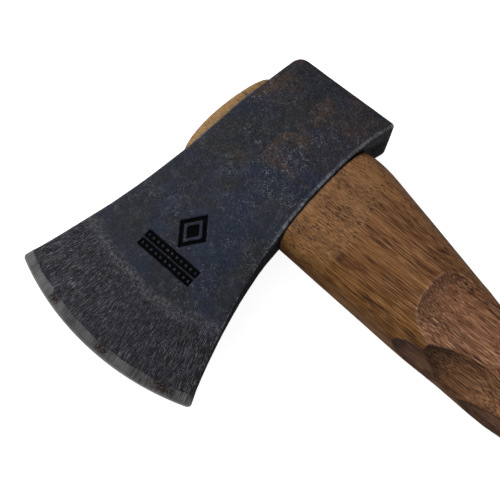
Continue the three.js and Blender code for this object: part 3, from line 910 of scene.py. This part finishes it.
def knife_tones(g, color, y, tone, shade, fibres):
    """Each knife cut leaves its own tone: pale and burnished, or dull with open grain. Painted light makes
    dull cuts on the front paler and bluer, and painted shade darkens the cuts.
    """
    pale = g.largest(tone, 0)
    dull = g.largest(g.math("MULTIPLY", tone, -1), 0)
    color = g.toned(color, (1.4, 1.36, 1.3), pale, 0.85)
    color = g.toned(color, (1.68, 1.74, 2.35), dull, 0.7)
    # Painted light: dull cuts on the front side are paler and bluer, as if lit by light bounced from the
    # pale floor.
    color = g.toned(color, (1.5, 1.62, 1.75), g.times(dull, g.step(y, -48, -62)), 0.9)
    # Painted shade: cuts are darkened where their walls fall in shade, more so on the fibres.
    return g.toned(color, (0.34, 0.32, 0.36), shade, g.line(fibres, 0.6, 0.6))


def rasped_neck(g, color, neck):
    """The neck is paler, partly its own rasped tone and partly painted sheen, and flecked where the rasp
    tore it.
    """
    color = g.over(color, srgb(108, 73, 42), neck, 0.38)
    # Painted sheen: the neck is lightened as if its smooth wood caught the light.
    color = g.toned(color, (1.12, 1.2, 1.28), neck, 1)
    flecks = g.times(neck, g.step(g.noise(12, 3), 0.38, 0.56),
                     g.step(g.noise((1.8, 0.45, 0.45), 2, 0.6), 0.52, 0.62))
    return g.over(color, srgb(42, 26, 16), flecks, 0.95)


def painted_shade_and_ridge_highlight(g, color, neck, shade):
    """Painted shade on cut walls that face away from the key light, and pale ridges, partly rubbed wear and
    partly painted highlight.
    """
    # Painted shade: walls whose normal points towards +X, away from the key light, are darkened.
    facing = g.node("ShaderNodeTexCoord").outputs["Normal"]
    faces_away_from_key = g.step(g.node("ShaderNodeSeparateXYZ", {0: facing}).outputs["X"], 0.09, 0.3)
    painted_shade_away_from_key = g.times(faces_away_from_key, g.math("SUBTRACT", 1, neck), g.step(shade, 0.0, 0.09),
                      g.line(g.noise(5, 3), 0.25, 0.75))
    color = g.over(color, srgb(38, 28, 22), painted_shade_away_from_key, 0.9)
    # Pale line along ridges: partly rubbed wear, partly a painted highlight where a ridge catches the
    # light.
    rubbed = g.times(g.attribute("ridge"), g.step(g.noise((9, 2, 2), 2), 0.35, 0.6),
                     g.step(shade, 0.6, 0.1))
    return g.over(color, srgb(158, 120, 84), rubbed, 0.4)


def rasped_end(g, rasped):
    """The paler end grain of the tenon's dome."""
    end = g.mix(g.step(rasped, 0.35, 0.7), srgb(112, 84, 50), srgb(146, 116, 76))
    return g.over(end, srgb(74, 50, 28), g.step(g.noise((6, 0.5, 0.5), 1), 0.56, 0.64), 0.6)


def walnut():
    """Oiled walnut: fibres and pores along x, growth rings round a pith below the handle."""
    g = Graph("walnut")
    x, y, z = (g.axis(name) for name in "XYZ")
    tone = g.attribute("tone")
    shade = g.attribute("shade")
    fibres = g.noise((28, 0.55, 0.55), 4, 0.8)
    threads = g.noise((11, 0.34, 0.34), 1, 0.5)
    rasped = g.noise((3, 0.35, 8), 2, 0.6)
    late = late_wood(g, y, z)
    pores = pore_dashes(g, tone, late)
    frayed = g.around_zero(g.noise((14, 1.6, 1.6), 3, 0.6), 0.6)
    neck = g.step(g.math("ADD", g.attribute("neck"), frayed), 0.41, 0.53)

    color = heartwood(g, y, tone, late, fibres, threads)
    color = g.over(color, srgb(34, 20, 13), pores, 0.8)
    color = knife_tones(g, color, y, tone, shade, fibres)
    color = rasped_neck(g, color, neck)
    color = painted_shade_and_ridge_highlight(g, color, neck, shade)

    # Painted shade: the wood is darkened along the crease where it meets the head.
    torn = g.math("MULTIPLY", g.noise((3, 0.6, 0.6), 3), 1.4)
    painted_contact_shade = g.step(g.math("SUBTRACT", g.attribute("from_head"), torn), 0.4, -0.4)
    color = g.over(color, srgb(20, 13, 10), painted_contact_shade, 0.85)

    is_end = g.step(x, -23, -27)
    color = g.mix(is_end, color, rasped_end(g, rasped))
    color = g.over(color, srgb(58, 38, 22), g.step(x, BUTT_X - 0.8, BUTT_X - 0.2), 0.5)

    roughness = g.line(g.step(fibres, 0.35, 0.65), 0.5, 0.14)
    height = g.math("ADD", g.math("MULTIPLY", fibres, 0.8), g.math("MULTIPLY", threads, 0.5))
    height = g.math("SUBTRACT", height, pores)
    height = g.mix(is_end, height, g.math("MULTIPLY", rasped, 1.2))
    return g.surface(color=color, roughness=roughness, specular=0.12, normal=g.bump(height, 0.12))


# ------------------------------------------------------------------ wedges

def wedge_wood():
    """Pale hardwood with saw marks across it."""
    g = Graph("wedge_wood")
    fibres = g.noise((14, 0.5, 0.5), 3, 0.6)
    sawn = g.noise((4, 0.4, 5), 2, 0.6)
    color = g.mix(g.step(fibres, 0.3, 0.7), srgb(120, 92, 58), srgb(176, 146, 104))
    color = g.over(color, srgb(92, 68, 42), g.step(sawn, 0.5, 0.7), 0.4)
    height = g.math("ADD", fibres, g.math("MULTIPLY", sawn, 0.7))
    return g.surface(color=color, roughness=0.62, normal=g.bump(height, 0.12))


def wedge_steel():
    """Dull steel with brown stains."""
    g = Graph("wedge_steel")
    brushed = g.noise((6, 0.3, 0.3), 3, 0.6)
    color = g.mix(g.step(brushed, 0.3, 0.7), srgb(66, 60, 56), srgb(112, 102, 92))
    color = g.over(color, srgb(74, 52, 38), g.step(g.noise(2.2, 3), 0.45, 0.65), 0.6)
    roughness = g.line(brushed, 0.34, 0.25)
    return g.surface(color=color, metallic=0.8, roughness=roughness, normal=g.bump(brushed, 0.05))


# ------------------------------------------------------------------ pieces

def finish_with(piece, material):
    piece.data.materials.clear()
    piece.data.materials.append(material)


head = build_head()
finish_with(head, forged_steel())
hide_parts("head")
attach(head, "root")

handle = build_handle()
finish_with(handle, walnut())
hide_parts("handle")
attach(handle, "root")

for node, material in (("eye_wedge", wedge_wood()), ("cross_wedge", wedge_steel())):
    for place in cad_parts[node].material_slots:
        place.material = material

# ------------------------------------------------------------------ floor, light and camera

CAMERA_PLACE = (85.5, -115.7, 275.7)
CAMERA_AZIMUTH = math.radians(41.46)
CAMERA_ELEVATION = math.radians(70)
CAMERA_LENS = 50.4
FLOOR_GLOW = 0.9


def glow_to_camera(g, shader, strength):
    """Adds an even glow that only the camera sees, so that shadows on white stay faint."""
    seen = g.node("ShaderNodeLightPath").outputs["Is Camera Ray"]
    glow = g.node("ShaderNodeEmission", {"Strength": g.math("MULTIPLY", seen, strength)})
    return g.node("ShaderNodeAddShader", {0: shader.outputs[0], 1: glow.outputs[0]})


def add_floor():
    low = CAD_BOX[0][2] - 0.0003
    bpy.ops.mesh.primitive_plane_add(size=6, location=(0, 0, low))
    floor = bpy.context.object
    floor.name = "floor"
    g = Graph("pale_floor")
    tint = g.mix(g.noise(160, 2), srgb(190, 190, 191), srgb(196, 196, 196))
    matt = g.node("ShaderNodeBsdfDiffuse", {"Color": tint})
    lit = glow_to_camera(g, matt, FLOOR_GLOW)
    output = g.node("ShaderNodeOutputMaterial")
    g.tree.links.new(lit.outputs[0], output.inputs[0])
    finish_with(floor, g.material)


def add_light(name, direction, distance, size, energy):
    light = bpy.data.lights.new(name, "AREA")
    light.shape = "DISK"
    light.size = size
    light.energy = energy
    lamp = bpy.data.objects.new(name, light)
    bpy.context.scene.collection.objects.link(lamp)
    towards = Vector(direction).normalized()
    lamp.location = Vector((0.05, -0.06, 0)) + towards * distance
    lamp.rotation_euler = (-towards).to_track_quat("-Z", "Y").to_euler()


def add_world(light, seen):
    """An even grey sky, which the camera sees as white."""
    world = bpy.data.worlds.new("studio")
    world.use_nodes = True
    tree = world.node_tree
    to_camera = tree.nodes.new("ShaderNodeLightPath").outputs["Is Camera Ray"]
    strength = tree.nodes.new("ShaderNodeMapRange")
    strength.inputs["To Min"].default_value = light
    strength.inputs["To Max"].default_value = seen
    background = tree.nodes["Background"]
    background.inputs["Color"].default_value = (1, 1, 1, 1)
    tree.links.new(to_camera, strength.inputs["Value"])
    tree.links.new(strength.outputs[0], background.inputs["Strength"])
    bpy.context.scene.world = world


def add_camera():
    lens = bpy.data.cameras.new("camera")
    lens.lens = CAMERA_LENS
    lens.sensor_width = 36
    lens.clip_start = 0.01
    camera = bpy.data.objects.new("camera", lens)
    bpy.context.scene.collection.objects.link(camera)
    flat = math.cos(CAMERA_ELEVATION)
    looking = Vector((-math.sin(CAMERA_AZIMUTH) * flat, math.cos(CAMERA_AZIMUTH) * flat,
                      -math.sin(CAMERA_ELEVATION)))
    camera.location = (Vector(CAMERA_PLACE) - Vector((0, POLL_Y, 0))) * MM
    camera.rotation_euler = looking.to_track_quat("-Z", "Y").to_euler()
    bpy.context.scene.camera = camera


add_floor()
add_world(0.25, 1.0)
add_light("key", (-0.78, -0.02, 0.62), 0.9, 0.35, 8.6)
add_light("fill", (-0.1, -0.85, 0.5), 0.9, 0.5, 1.6)
add_camera()
bpy.context.scene.view_settings.view_transform = "Standard"
